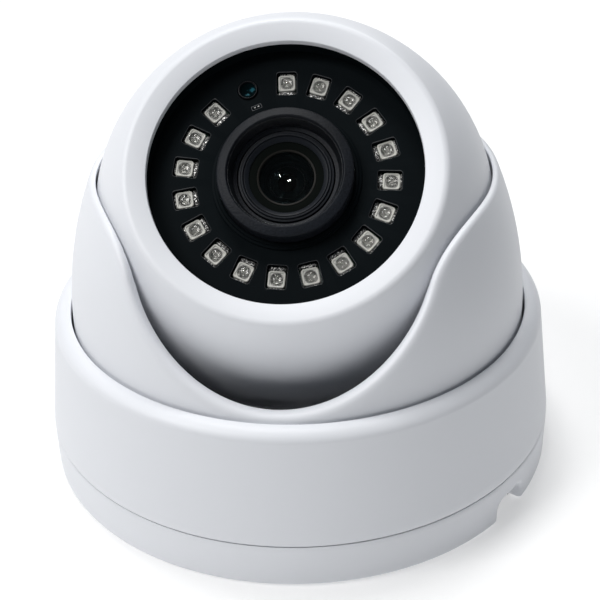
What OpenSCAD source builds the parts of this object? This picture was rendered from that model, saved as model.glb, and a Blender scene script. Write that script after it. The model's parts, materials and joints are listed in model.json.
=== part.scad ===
// Turret camera with a ball that pans, tilts and turns in a domed collar.
// The mounting face is z = 0, the pan axis is z, and the lens looks towards -y and up.

/* [Housing] */
// Largest diameter, at the seam between the base and the cover
body_d = 94; // [93:0.5:96]
// Height of the seam between the base and the cover
seam_z = 8.4; // [7.5:0.1:9]
// Height of the cover's crest
cover_top_z = 30.4; // [30:0.1:31]
// Radius of the hole in the cover that the collar turns in
cover_hole_r = 41.9; // [41.8:0.1:42.1]
// Outer radius of the collar's straight part
collar_r = 41.5; // [41.2:0.05:41.5]
// Height of the collar's rim
collar_top_z = 56.3; // [56:0.1:56.6]

/* [Ball] */
// Radius of the ball
ball_r = 35.8; // [35.6:0.05:35.85]
// Height of the ball's centre
ball_z = 47.1; // [46.9:0.1:47.3]
// Angle between the lens axis and the pan axis as drawn
rest_tilt = 42.5; // [0:0.5:78]
// Distance from the ball's centre to its flat face
face_d = 23.2; // [22.8:0.1:23.4]
// Radius of the window in the flat face
window_r = 23.5; // [23.1:0.1:23.6]

/* [Lamps and lens] */
// Number of infrared lamps on the ring
lamp_count = 18; // [16:1:20]
// Angle left between two lamps for the light sensor
sensor_gap_angle = 44.4; // [36:0.2:46]
// Radius of the lamp ring
lamp_ring_r = 17.8; // [17.4:0.1:18.2]
// Outer radius of the lens hood
hood_r = 11.65; // [11.4:0.05:11.8]
// Distance from the ball's centre to the front of the lens hood
hood_front_d = 21.9; // [21:0.1:22.5]

/* [Mounting] */
// Diameter of the circle that the mounting screws lie on
mount_pcd = 50; // [48:0.5:51]
// Radius of the mounting screw holes
mount_hole_r = 2.3; // [2:0.1:2.5]
// Radius of the cable hole in the floor
cable_hole_r = 10; // [8:0.5:12]
// Width of the cable notch in the rim
notch_w = 8; // [7.8:0.1:9]
// Height of the cable notch
notch_h = 4.5; // [4.5:0.1:5.6]

/* [Hidden] */
$fn = 96;
gap = 0.05;
cut = 1;
// Revolved surfaces start at this angle where something lies on the x axis.
seam_turn = 80;

body_r = body_d / 2;
floor_t = 2.4;
wall = 2.2;

// Base: two ring walls stand on the floor, a hub for the pan bearing and a shelf under it.
hub_r = 33.7;
hub_bore_r = 30.4;
hub_top_z = 19.9;
shelf_r = 39.9;
shelf_bore_r = 36.9;
shelf_z = 16.6;
spigot_r = 44.9;
spigot_top_z = 14.4;
spigot_t = 1.8;
mount_boss_r = 5;
mount_boss_top_z = 4.4;
mount_start_angle = 38;
notch_angle = -31;
notch_start_r = 14;
seal_in_r = 42.4;
seal_out_r = 44.2;
seal_t = 0.9;
lock_z = 11.8;
lock_r = 1.5;
lock_depth = 6;

// Collar: an arc leans the wall in above its straight part.
collar_t = 3;
collar_low_t = 2;
collar_arc_r = 70;
collar_arc_z = 29.5;
collar_bead_r = 0.7;
ball_gap = 0.4;
flange_z = 17.1;
flange_top_z = 19.6;
ledge_z = 22.2;
ledge_top_z = 23.6;
ledge_r = 36.2;
cutout_r = 26.4;
cutout_z = 57.6;
cutout_corner_r = 10;
retainer_t = 1.8;
retainer_screw_r = 32;
cradle_t = 2;
cradle_screw_r = 37.7;

// Tilt pivots, on the x axis through the ball's centre.
pivot_pin_r = 2;
pivot_bush_r = 3;
pivot_boss_r = 5.2;
pivot_recess_r = 6.6;
pivot_recess_x = 34.9;
pivot_pin_in_x = 29.6;
pivot_pin_out_x = 38.2;
pivot_boss_in_x = 29;
collar_boss_x = 35.5;
collar_boss_out_x = 37.6;
collar_boss_r = 4.4;

// Ball, along the lens axis from the ball's centre.
part_d = -6;
lip_back_d = 20.8;
face_dish = 1;
face_edge = 0.3;
sleeve_bore_r = 25.2;
sleeve_r = 28.2;
sleeve_back_d = 8;
shell_screw_r = 30;
shell_screw_head_d = -13;
shell_boss_r = 3.4;
gland_angle = 39;
gland_r = 4;
gland_bore_r = 2.8;
gland_nut_r = 5.2;
gland_out = ball_r + 4;

// Camera module, along the lens axis.
carrier_r = 25.12;
carrier_front_d = 14.6;
carrier_floor_t = 1.8;
carrier_back_d = 8.2;
mask_front_d = 17.8;
mask_t = 1.2;
mask_rim_d = 20.5;
lamp_board_t = 1.2;
lamp_size = 3;
lamp_h = 1.5;
lamp_dome_r = 1.35;
lamp_dome_h = 0.6;
lamp_window_w = 3.5;
lamp_window_in = 2.35;
lamp_window_out = 1.85;
sensor_place_angle = 115.3;
sensor_r = 1.4;
sensor_rim_r = 1.7;
hood_rim_r = 9.9;
hood_bore_r = 8.3;
barrel_head_r = 8.2;
barrel_front_d = 19.2;
barrel_recess_r = 7.25;
thread_r = 6;
holder_d = 0;
holder_top_d = 9;
post_place = 14;
post_r = 2.2;
post_hole_r = 1;
sensor_board_d = -10;
sensor_board_t = 1.4;
sensor_board_w = 34;
main_board_d = -18;
main_board_t = 1.5;
main_board_r = 22.5;
filter_box_d = -8.6;
filter_box_top_d = -3;
filter_slot_d = -5.6;
filter_slot_top_d = -3.8;
filter_travel = 8;
filter_pitch = 8;

lamp_step = (360 - sensor_gap_angle) / (lamp_count - 1);
lamp_board_top_d = carrier_front_d + lamp_board_t;

// Points of a round arc, for outlines.
function arc(centre_x, centre_y, radius, from, to, steps) =
    [for (i = [0:steps])
        let (a = from + (to - from) * i / steps)
        [centre_x + radius * cos(a), centre_y + radius * sin(a)]];

// Radius of the collar's outside at a height above its straight part.
function collar_out_r(z) =
    collar_r - collar_arc_r + sqrt(pow(collar_arc_r, 2) - pow(max(z - collar_arc_z, 0), 2));

// Radius of the collar's inside: as thick as the wall may be while it clears the ball.
function collar_in_r(z) =
    max(collar_out_r(z) - collar_t, sqrt(pow(ball_r + ball_gap, 2) - pow(z - ball_z, 2)));

module ring(outer_r, inner_r, low, high) {
    translate([0, 0, low])
        difference() {
            cylinder(r = outer_r, h = high - low);
            translate([0, 0, -cut])
                cylinder(r = inner_r, h = high - low + 2 * cut);
        }
}

module disc(radius, low, high) {
    translate([0, 0, low])
        cylinder(r = radius, h = high - low);
}

module block(width, depth, low, high) {
    translate([-width / 2, -depth / 2, low])
        cube([width, depth, high - low]);
}

module around(count, radius, start = 0) {
    for (i = [0:count - 1])
        rotate([0, 0, start + i * 360 / count])
            translate([radius, 0, 0])
                children();
}

module corners(place) {
    for (x = [-place, place], y = [-place, place])
        translate([x, y, 0])
            children();
}

// Puts its children in the ball's frame: z along the lens axis, zero at the ball's centre.
module in_ball() {
    translate([0, 0, ball_z])
        rotate([rest_tilt, 0, 0])
            children();
}

// A rod along x on both sides of the ball's centre, in the ball's frame.
module both_pivots(radius, in_x, out_x) {
    for (side = [-1, 1])
        rotate([0, side * 90, 0])
            translate([0, 0, in_x])
                cylinder(r = radius, h = out_x - in_x);
}

module screw(head_r, head_h, shank_r, length) {
    cylinder(r = head_r, h = head_h);
    translate([0, 0, -length])
        cylinder(r = shank_r, h = length);
}

module lamp_places() {
    for (i = [0:lamp_count - 1])
        rotate([0, 0, sensor_place_angle + sensor_gap_angle / 2 + i * lamp_step])
            translate([lamp_ring_r, 0, 0])
                children();
}

// ---- Base ----

module notch_cutter() {
    corner = 1.9;
    rotate([0, 0, notch_angle])
        translate([notch_start_r, 0, 0])
            rotate([90, 0, 90])
                linear_extrude(body_r)
                    union() {
                        translate([-notch_w / 2, -cut])
                            square([notch_w, notch_h - corner + cut]);
                        translate([-notch_w / 2 + corner, 0])
                            square([notch_w - 2 * corner, notch_h]);
                        for (x = [-1, 1])
                            translate([x * (notch_w / 2 - corner), notch_h - corner])
                                circle(r = corner);
                    }
}

module mounting_base() {
    bottom_r = body_r - 0.2;
    color("whitesmoke")
        difference() {
            union() {
                rotate_extrude()
                    polygon(concat(
                        [[0, 0]],
                        arc(bottom_r - 1, 1, 1, -90, 0, 6),
                        arc(body_r - 0.15, seam_z - 0.15, 0.15, 0, 90, 3),
                        [[spigot_r, seam_z], [spigot_r, spigot_top_z],
                         [spigot_r - spigot_t, spigot_top_z], [spigot_r - spigot_t, floor_t],
                         [0, floor_t]]));
                ring(hub_r, hub_bore_r, 0, hub_top_z);
                ring(shelf_r, shelf_bore_r, 0, shelf_z);
                around(3, mount_pcd / 2, mount_start_angle)
                    disc(mount_boss_r, 0, mount_boss_top_z);
                translate([0, 42.2, 0])
                    block(9, 3.8, 0, spigot_top_z);
            }
            around(3, mount_pcd / 2, mount_start_angle)
                disc(mount_hole_r, -cut, mount_boss_top_z + cut);
            disc(cable_hole_r, -cut, floor_t + cut);
            notch_cutter();
            ring(seal_out_r, seal_in_r, -cut, seal_t);
            around(4, retainer_screw_r, 45)
                disc(post_hole_r + gap, hub_top_z - 7, hub_top_z + cut);
            lock_hole();
        }
}

// Radial hole at the back for the grub screw.
module lock_hole() {
    translate([0, body_r + cut, lock_z])
        rotate([90, 0, 0])
            cylinder(r = lock_r + gap, h = lock_depth + cut);
}

// Soft ring in the underside, cut through where the cable notch crosses it.
module base_seal() {
    color("dimgray")
        difference() {
            ring(seal_out_r - gap, seal_in_r + gap, 0, seal_t - gap);
            notch_cutter();
        }
}

module cover_ring() {
    low_z = seam_z + 0.3;
    shoulder_r = 3.1;
    inner_r = spigot_r + 0.1;
    lip_t = 2;
    color("whitesmoke")
        difference() {
            rotate_extrude()
                polygon(concat(
                    [[inner_r, low_z]],
                    arc(body_r - 0.15, low_z + 0.15, 0.15, -90, 0, 3),
                    arc(cover_hole_r, cover_top_z - shoulder_r, shoulder_r, 0, 90, 12),
                    [[cover_hole_r, cover_top_z - lip_t], [cover_hole_r + 0.9, cover_top_z - lip_t],
                     [cover_hole_r + 1.2, cover_top_z - shoulder_r],
                     [inner_r, spigot_top_z + 0.4]]));
            lock_hole();
        }
}

// Grub screw at the back that locks the cover on the base.
module cover_lock_screw() {
    tip_y = body_r - lock_depth + 0.2;
    head_y = body_r - 0.8;
    color("silver")
        difference() {
            translate([0, head_y, lock_z])
                rotate([90, 0, 0])
                    cylinder(r = lock_r, h = head_y - tip_y);
            translate([0, head_y + cut, lock_z])
                rotate([90, 0, 0])
                    cylinder(r = 0.8, h = 1.5 + cut, $fn = 6);
        }
}

module pan_slide_ring() {
    color("ivory")
        ring(shelf_r - 0.3, shelf_bore_r + 0.3, shelf_z, flange_z - 0.1);
}

module pan_retainer() {
    color("dimgray")
        difference() {
            ring(37.5, 30.6, hub_top_z, hub_top_z + retainer_t);
            ring(36.8, 35.2, hub_top_z - cut, hub_top_z + 0.5);
            around(4, retainer_screw_r, 45)
                disc(post_hole_r + gap, hub_top_z - cut, hub_top_z + retainer_t + cut);
        }
}

module pan_friction_ring() {
    color("black")
        ring(36.7, 35.3, flange_top_z + gap, hub_top_z + 0.5);
}

module retainer_screws() {
    color("silver")
        around(4, retainer_screw_r, 45)
            translate([0, 0, hub_top_z + retainer_t])
                screw(1.8, 1.3, post_hole_r, retainer_t + 5.5);
}

// ---- Collar ----

module collar_outline() {
    bead_z = collar_top_z - collar_bead_r;
    bead_x = collar_in_r(bead_z) + collar_bead_r;
    steps = 9;
    heights = [for (i = [0:steps]) collar_arc_z + (bead_z - 0.6 - collar_arc_z) * i / steps];
    low_in_r = collar_r - collar_low_t;
    polygon(concat(
        [[hub_r + gap, flange_z], [collar_r, flange_z]],
        [for (z = heights) [collar_out_r(z), z]],
        arc(bead_x, bead_z, collar_bead_r, 0, 180, 12),
        [for (i = [steps:-1:0]) [collar_in_r(heights[i]), heights[i]]],
        [[low_in_r, collar_arc_z - 2], [low_in_r, ledge_top_z], [ledge_r, ledge_top_z], [ledge_r, ledge_z],
         [low_in_r, ledge_z], [low_in_r, flange_top_z], [hub_r + gap, flange_top_z]]));
}

// The front cut-out is round below and flares out to the rim through two rounded corners.
module collar_cutout() {
    above_rim = 0.35;
    corner_z = collar_top_z - cutout_corner_r + above_rim;
    corner_x = sqrt(pow(cutout_r + cutout_corner_r, 2) - pow(cutout_z - corner_z, 2));
    meet = asin((cutout_z - corner_z) / (cutout_r + cutout_corner_r));
    rotate([90, 0, 0])
        linear_extrude(body_r)
            polygon(concat(
                [[corner_x, body_d]],
                arc(corner_x, corner_z, cutout_corner_r, 90, 180 - meet, 8),
                arc(0, cutout_z, cutout_r, -meet, meet - 180, 30),
                arc(-corner_x, corner_z, cutout_corner_r, meet, 90, 8),
                [[-corner_x, body_d]]));
}

module collar() {
    color("whitesmoke")
        difference() {
            union() {
                rotate([0, 0, seam_turn])
                    rotate_extrude()
                        collar_outline();
                translate([0, 0, ball_z])
                    both_pivots(collar_boss_r, collar_boss_x, collar_boss_out_x);
            }
            collar_cutout();
            translate([0, 0, ball_z])
                both_pivots(pivot_pin_r + gap, collar_boss_x - cut, pivot_pin_out_x + gap);
            around(4, cradle_screw_r, 45)
                disc(0.8 + gap, ledge_z - cut, ledge_top_z + cut);
        }
}

module pivot_pins() {
    color("silver")
        in_ball()
            both_pivots(pivot_pin_r, pivot_pin_in_x, pivot_pin_out_x);
}

module pivot_washers() {
    color("black")
        in_ball()
            difference() {
                both_pivots(collar_boss_r, pivot_recess_x + 0.15, collar_boss_x);
                both_pivots(pivot_pin_r + gap, pivot_recess_x - cut, collar_boss_x + cut);
            }
}

module ball_cradle() {
    color("dimgray")
        difference() {
            ring(collar_r - collar_low_t - gap, 30.6, ledge_top_z, ledge_top_z + cradle_t);
            around(4, cradle_screw_r, 45)
                disc(0.8 + gap, ledge_top_z - cut, ledge_top_z + cradle_t + cut);
        }
}

module cradle_screws() {
    color("silver")
        around(4, cradle_screw_r, 45)
            translate([0, 0, ledge_top_z + cradle_t])
                screw(1.3, 1, 0.8, cradle_t + 1.2);
}

// Four friction pads stand on the cradle and follow the ball.
module brake_pads() {
    pad_z = ledge_top_z + cradle_t;
    color("black")
        difference() {
            around(4, 33.2, 45)
                block(4.6, 7, pad_z, pad_z + 3);
            translate([0, 0, ball_z])
                sphere(r = ball_r + 0.3);
        }
}

// ---- Ball ----

module shell_half(low, high) {
    intersection() {
        difference() {
            sphere(r = ball_r);
            sphere(r = ball_r - wall);
        }
        disc(ball_r + cut, low, high);
    }
}

module shell_screw_places() {
    around(4, shell_screw_r, 45)
        children();
}

// Space inside the front half: the ball's hollow, the sleeve's bore and the window.
module front_hollow() {
    hollow_r = ball_r - wall;
    low = part_d - cut;
    dish_r = sqrt(pow(ball_r, 2) - pow(face_d, 2)) - face_edge;
    rotate_extrude()
        polygon(concat(
            [[0, low]],
            arc(0, 0, hollow_r, asin(low / hollow_r), acos(sleeve_r / hollow_r), 12),
            [[sleeve_r, sleeve_back_d], [sleeve_bore_r, sleeve_back_d],
             [sleeve_bore_r, lip_back_d], [window_r, lip_back_d],
             [window_r, face_d - face_dish], [dish_r, face_d],
             [dish_r, face_d + cut], [0, face_d + cut]]));
}

module front_shell() {
    color("whitesmoke")
        in_ball()
            difference() {
                union() {
                    rotate([0, 0, seam_turn])
                        difference() {
                            intersection() {
                                sphere(r = ball_r);
                                disc(ball_r + cut, part_d, face_d);
                            }
                            front_hollow();
                        }
                    both_pivots(pivot_boss_r, pivot_boss_in_x, ball_r - wall / 2);
                    shell_screw_places()
                        disc(shell_boss_r, part_d, 5);
                }
                both_pivots(pivot_bush_r + gap, pivot_boss_in_x - cut, ball_r + cut);
                both_pivots(pivot_recess_r, pivot_recess_x, ball_r + cut);
                shell_screw_places()
                    disc(post_hole_r + gap, part_d - cut, 3);
                ring(34.6, 33.8, part_d - cut, part_d + 0.8);
                around(3, 26.8, 30)
                    disc(0.8 + gap, sleeve_back_d - cut, sleeve_back_d + 5);
            }
}

module gland_place() {
    rotate([180 - gland_angle, 0, 0])
        children();
}

module rear_shell() {
    color("whitesmoke")
        in_ball()
            difference() {
                union() {
                    shell_half(-ball_r - cut, part_d);
                    intersection() {
                        sphere(r = ball_r - wall / 2);
                        union() {
                            shell_screw_places()
                                disc(shell_boss_r, -ball_r, part_d);
                            gland_place()
                                disc(6, 31.5, ball_r);
                        }
                    }
                }
                shell_screw_places() {
                    disc(1 + gap, -ball_r, part_d + cut);
                    disc(2.3, -ball_r, shell_screw_head_d);
                }
                gland_place() {
                    disc(gland_r + gap, 31, ball_r + cut);
                    disc(6, ball_r - 0.6, ball_r + cut);
                }
            }
}

module shell_seal() {
    color("black")
        in_ball()
            ring(34.6 - gap, 33.8 + gap, part_d, part_d + 0.8 - gap);
}

module shell_screws() {
    color("silver")
        in_ball()
            shell_screw_places()
                rotate([180, 0, 0])
                    translate([0, 0, -shell_screw_head_d])
                        screw(2.1, 1.6, 1, -shell_screw_head_d + 2);
}

module pivot_bushes() {
    color("ivory")
        in_ball()
            difference() {
                both_pivots(pivot_bush_r, pivot_boss_in_x, pivot_recess_x);
                both_pivots(pivot_pin_r + gap, pivot_boss_in_x - cut, ball_r);
            }
}

module cable_gland() {
    color("black")
        in_ball()
            gland_place()
                difference() {
                    union() {
                        disc(gland_r, 31.5, gland_out);
                        disc(5.6, ball_r - 0.6, ball_r + 0.9);
                    }
                    disc(gland_bore_r, 31, gland_out + cut);
                }
}

module gland_nut() {
    color("black")
        in_ball()
            gland_place()
                difference() {
                    translate([0, 0, ball_r + 0.9])
                        cylinder(r = gland_nut_r, h = 2.4, $fn = 6);
                    disc(gland_r + gap, ball_r, gland_out);
                }
}

module carrier_retainer() {
    color("dimgray")
        in_ball()
            difference() {
                ring(sleeve_r, 23, sleeve_back_d - 1.8, sleeve_back_d);
                around(3, 26.8, 30)
                    disc(0.8 + gap, 0, sleeve_back_d + cut);
            }
}

module carrier_screws() {
    color("silver")
        in_ball()
            around(3, 26.8, 30)
                rotate([180, 0, 0])
                    translate([0, 0, 1.8 - sleeve_back_d])
                        screw(1.3, 1, 0.8, 5.5);
}

// ---- Camera module ----

module module_carrier() {
    color("darkslategray")
        in_ball()
            difference() {
                union() {
                    disc(carrier_r, carrier_front_d - carrier_floor_t, carrier_front_d);
                    ring(carrier_r, carrier_r - 1.6, carrier_back_d, lamp_board_top_d);
                }
                disc(barrel_head_r + 0.3, 0, carrier_front_d + cut);
                corners(post_place)
                    disc(post_hole_r + gap, 0, carrier_front_d + cut);
                translate([0, 20.9, 0])
                    block(9, 1.4, 0, carrier_front_d + cut);
            }
}

module lamp_window_cutter() {
    translate([-lamp_window_in, -lamp_window_w / 2, mask_front_d - mask_t - cut])
        cube([lamp_window_in + lamp_window_out, lamp_window_w, mask_t + 2 * cut]);
}

module lamp_mask() {
    color("black")
        in_ball()
            difference() {
                union() {
                    ring(sleeve_bore_r - 0.2, window_r + 0.1, lamp_board_top_d, mask_rim_d);
                    ring(window_r + 0.3, hood_r + 0.1, mask_front_d - mask_t, mask_front_d);
                }
                lamp_places()
                    lamp_window_cutter();
                rotate([0, 0, sensor_place_angle])
                    translate([lamp_ring_r, 0, 0])
                        disc(sensor_rim_r + gap, mask_front_d - mask_t - cut, mask_front_d + cut);
            }
}

module lamp_board() {
    color("darkgreen")
        in_ball()
            ring(carrier_r - 1.7, barrel_head_r + 0.3, carrier_front_d, lamp_board_top_d);
}

module infrared_lamps() {
    color("gainsboro")
        in_ball()
            lamp_places()
                block(lamp_size, lamp_size, lamp_board_top_d, lamp_board_top_d + lamp_h);
}

// Each lamp carries a shallow clear dome.
module lamp_domes() {
    dome_curve_r = (pow(lamp_dome_r, 2) + pow(lamp_dome_h, 2)) / (2 * lamp_dome_h);
    color("lightsteelblue")
        in_ball()
            lamp_places()
                translate([0, 0, lamp_board_top_d + lamp_h])
                    intersection() {
                        translate([0, 0, lamp_dome_h - dome_curve_r])
                            sphere(r = dome_curve_r);
                        cylinder(r = dome_curve_r, h = dome_curve_r);
                    }
}

module at_light_sensor() {
    in_ball()
        rotate([0, 0, sensor_place_angle])
            translate([lamp_ring_r, 0, 0])
                children();
}

module light_sensor() {
    color("teal")
        at_light_sensor()
            disc(sensor_r, lamp_board_top_d, mask_front_d - 0.2);
}

module light_sensor_rim() {
    color("slategray")
        at_light_sensor()
            ring(sensor_rim_r, sensor_r + gap, lamp_board_top_d, mask_front_d + 0.3);
}

module lens_hood() {
    color("darkslategray")
        in_ball()
            rotate_extrude()
                polygon([
                    [hood_bore_r, lamp_board_top_d],
                    [hood_r, lamp_board_top_d],
                    [hood_r, hood_front_d - 0.8],
                    [hood_r - 0.3, hood_front_d - 0.45],
                    [hood_rim_r, hood_front_d],
                    [hood_bore_r, barrel_front_d]]);
}

module hood_foot_ring() {
    color("black")
        in_ball()
            ring(hood_r + 1.2, hood_r + gap, mask_front_d, mask_front_d + 0.7);
}

module lens_barrel() {
    color("black")
        in_ball()
            difference() {
                union() {
                    disc(barrel_head_r, 12, barrel_front_d);
                    disc(thread_r, holder_d + 1, 13);
                }
                disc(barrel_recess_r, 16, barrel_front_d + cut);
                disc(5, 9, barrel_front_d);
                disc(4, holder_d, barrel_front_d);
            }
}

module lens_retaining_ring() {
    color("dimgray")
        in_ball()
            ring(barrel_recess_r - gap, 5.05, barrel_front_d - 0.9, barrel_front_d);
}

// A lens element: a disc whose front bulges as part of a sphere.
module element(radius, low, edge_t, bulge) {
    curve_r = (pow(radius, 2) + pow(bulge, 2)) / (2 * bulge);
    color("lightcyan")
        in_ball()
            union() {
                disc(radius, low, low + edge_t);
                intersection() {
                    translate([0, 0, low + edge_t + bulge - curve_r])
                        sphere(r = curve_r);
                    disc(radius, low + edge_t - 0.2, low + edge_t + bulge + cut);
                }
            }
}

module front_element() {
    element(7.1, 16, 1.4, 1.6);
}

module middle_element() {
    element(4.9, 9, 1.8, 0.9);
}

module rear_element() {
    element(3.9, 1.2, 1.6, 0.7);
}

module lens_lock_nut() {
    color("dimgray")
        in_ball()
            ring(8, thread_r + gap, holder_top_d + 0.1, holder_top_d + 2.1);
}

module lens_holder() {
    color("black")
        in_ball()
            difference() {
                union() {
                    disc(8, filter_box_top_d, holder_top_d);
                    block(18, 18, filter_box_top_d, holder_d);
                }
                disc(thread_r + gap, holder_d + 0.5, holder_top_d + cut);
                disc(5, filter_box_top_d - cut, holder_top_d);
            }
}

// Box under the lens where the filter slider shuttles along x.
module filter_box() {
    color("black")
        in_ball()
            difference() {
                block(30, 16, filter_box_d, filter_box_top_d);
                block(26, 9.6, filter_slot_d, filter_slot_top_d);
                block(11, 10, filter_box_d - cut, filter_slot_d - 0.8);
                disc(3.9, filter_box_d - cut, filter_box_top_d + cut);
            }
}

module at_filter_window(index) {
    translate([index * filter_pitch, 0, 0])
        children();
}

// The slider carries two glasses side by side, with the first over the sensor.
module filter_slider() {
    color("dimgray")
        in_ball()
            translate([0, 0, filter_slot_d + 0.3])
                difference() {
                    translate([filter_pitch / -2, 0, 0])
                        block(filter_pitch + 8.6, 9, 0, 1.2);
                    for (index = [-1, 0])
                        at_filter_window(index)
                            block(6.8, 7, -cut, 1.2 + cut);
                }
}

module cut_glass() {
    color("paleturquoise")
        in_ball()
            at_filter_window(0)
                block(6.7, 6.9, filter_slot_d + 0.4, filter_slot_d + 1.1);
}

module clear_glass() {
    color("azure")
        in_ball()
            at_filter_window(-1)
                block(6.7, 6.9, filter_slot_d + 0.4, filter_slot_d + 1.1);
}

module filter_coil() {
    color("chocolate")
        in_ball()
            translate([0, 11.2, filter_box_d + 2.6])
                rotate([0, 90, 0])
                    translate([0, 0, -5])
                        difference() {
                            cylinder(r = 2.6, h = 10);
                            translate([0, 0, -cut])
                                cylinder(r = 0.8, h = 10 + 2 * cut);
                        }
}

module image_sensor() {
    color("navy")
        in_ball()
            block(9.4, 8, filter_box_d, filter_box_d + 1.2);
}

module post_holes(low, high) {
    corners(post_place)
        disc(post_hole_r + gap, low, high);
}

module sensor_board() {
    color("darkgreen")
        in_ball()
            difference() {
                block(sensor_board_w, sensor_board_w, sensor_board_d, sensor_board_d + sensor_board_t);
                post_holes(sensor_board_d - cut, sensor_board_d + 2 * cut);
            }
}

module main_board() {
    color("darkgreen")
        in_ball()
            difference() {
                disc(main_board_r, main_board_d, main_board_d + main_board_t);
                post_holes(main_board_d - cut, main_board_d + 2 * cut);
            }
}

module posts(low, high) {
    color("goldenrod")
        in_ball()
            corners(post_place)
                ring(post_r, post_hole_r + gap, low, high);
}

module long_posts() {
    posts(sensor_board_d + sensor_board_t, carrier_front_d - carrier_floor_t);
}

module short_posts() {
    posts(main_board_d + main_board_t, sensor_board_d);
}

// One long screw in each corner clamps both boards to the carrier.
module board_screws() {
    color("silver")
        in_ball()
            corners(post_place)
                rotate([180, 0, 0])
                    translate([0, 0, -main_board_d])
                        screw(1.8, 1.2, post_hole_r, -main_board_d + carrier_front_d);
}

module main_chip() {
    color("black")
        in_ball()
            block(14, 14, main_board_d - 1.4, main_board_d);
}

module heat_sink() {
    low = main_board_d - 6.4;
    color("silver")
        in_ball()
            union() {
                block(20, 20, main_board_d - 3, main_board_d - 1.4);
                for (i = [-3:3])
                    translate([i * 3.1, 0, 0])
                        block(1.2, 20, low, main_board_d - 3);
            }
}

module memory_chips() {
    color("black")
        in_ball()
            for (y = [-15.5, 15.5])
                translate([0, y, 0])
                    block(10, 6, main_board_d - 1, main_board_d);
}

module capacitors() {
    color("silver")
        in_ball()
            for (y = [-6.5, 0, 6.5])
                translate([-17.5, y, 0])
                    disc(2.5, main_board_d + main_board_t, main_board_d + main_board_t + 5);
}

module board_sockets() {
    color("ivory")
        in_ball()
            for (x = [8, 16])
                translate([x, 0, 0])
                    difference() {
                        block(5, 12, main_board_d + main_board_t, main_board_d + main_board_t + 4);
                        translate([0, 0, 1.2])
                            block(3.4, 10, main_board_d + main_board_t, main_board_d + main_board_t + 4);
                    }
}

// Flat lead between the lamp board and the main board.
module flat_lead() {
    color("peru")
        in_ball()
            translate([0, 20.9, 0])
                block(8, 0.5, main_board_d + main_board_t, carrier_front_d);
}

mounting_base();
base_seal();
cover_ring();
cover_lock_screw();
pan_slide_ring();
pan_retainer();
pan_friction_ring();
retainer_screws();
collar();
pivot_pins();
pivot_washers();
ball_cradle();
cradle_screws();
brake_pads();
front_shell();
rear_shell();
shell_seal();
shell_screws();
pivot_bushes();
cable_gland();
gland_nut();
carrier_retainer();
carrier_screws();
module_carrier();
lamp_mask();
lamp_board();
infrared_lamps();
lamp_domes();
light_sensor();
light_sensor_rim();
lens_hood();
hood_foot_ring();
lens_barrel();
lens_retaining_ring();
front_element();
middle_element();
rear_element();
lens_lock_nut();
lens_holder();
filter_box();
filter_slider();
cut_glass();
clear_glass();
filter_coil();
image_sensor();
sensor_board();
main_board();
long_posts();
short_posts();
board_screws();
main_chip();
heat_sink();
memory_chips();
capacitors();
board_sockets();
flat_lead();
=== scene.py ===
"""Looks of the turret camera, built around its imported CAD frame."""

import json
import math
import random

import bmesh
import bpy
from mathutils import Matrix, Vector


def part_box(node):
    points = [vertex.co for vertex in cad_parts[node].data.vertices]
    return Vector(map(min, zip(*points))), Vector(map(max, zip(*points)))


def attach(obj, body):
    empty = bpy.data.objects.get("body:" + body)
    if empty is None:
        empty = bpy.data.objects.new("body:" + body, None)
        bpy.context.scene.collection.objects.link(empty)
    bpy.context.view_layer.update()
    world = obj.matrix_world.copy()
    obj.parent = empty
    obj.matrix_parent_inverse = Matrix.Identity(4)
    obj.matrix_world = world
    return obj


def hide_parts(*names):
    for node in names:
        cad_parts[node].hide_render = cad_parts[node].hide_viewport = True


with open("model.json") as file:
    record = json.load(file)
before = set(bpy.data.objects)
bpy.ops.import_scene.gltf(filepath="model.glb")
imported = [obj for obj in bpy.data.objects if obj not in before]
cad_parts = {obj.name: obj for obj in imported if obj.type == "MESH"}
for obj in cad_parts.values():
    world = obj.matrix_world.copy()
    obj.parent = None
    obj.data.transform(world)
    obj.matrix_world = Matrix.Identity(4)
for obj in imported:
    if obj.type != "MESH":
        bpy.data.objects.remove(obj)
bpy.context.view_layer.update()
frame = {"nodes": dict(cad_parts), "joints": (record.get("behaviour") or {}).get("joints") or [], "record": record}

MM = 0.001
TAU = 2 * math.pi

# ---- Facts of the frame, in millimetres ----

joints = {j["name"]: j for j in frame["joints"]}


def span(node, axis):
    low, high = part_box(node)
    return low[axis] / MM, high[axis] / MM


BALL_Z = joints["tilt"]["pos_m"][2] / MM
TURN_AXIS = Vector(joints["turn"]["axis"])
REST_TILT = math.atan2(-TURN_AXIS.y, TURN_AXIS.z)
BODY_R = span("mounting_base", 0)[1]
COVER_TOP_Z = span("cover_ring", 2)[1]
COVER_LOW_Z = span("cover_ring", 2)[0]
COLLAR_TOP_Z = span("collar", 2)[1]
COLLAR_R = span("collar", 0)[1]
FLANGE_Z = span("collar", 2)[0]

SEAM_Z = 8.4
COVER_HOLE_R = 41.9
BALL_R = 35.8
FACE_D = 23.2
WINDOW_R = 23.5
FACE_DISH = 1.0
PART_D = -6.0
LIP_BACK_D = 20.8
NOTCH_ANGLE = math.radians(-31)

to_ball = Matrix.Translation((0, 0, BALL_Z)) @ Matrix.Rotation(REST_TILT, 4, "X")


# ---- Mesh tools ----

def arc(centre_x, centre_y, radius, start, end, steps):
    out = []
    for i in range(steps + 1):
        a = math.radians(start + (end - start) * i / steps)
        out.append((centre_x + radius * math.cos(a), centre_y + radius * math.sin(a)))
    return out


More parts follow.
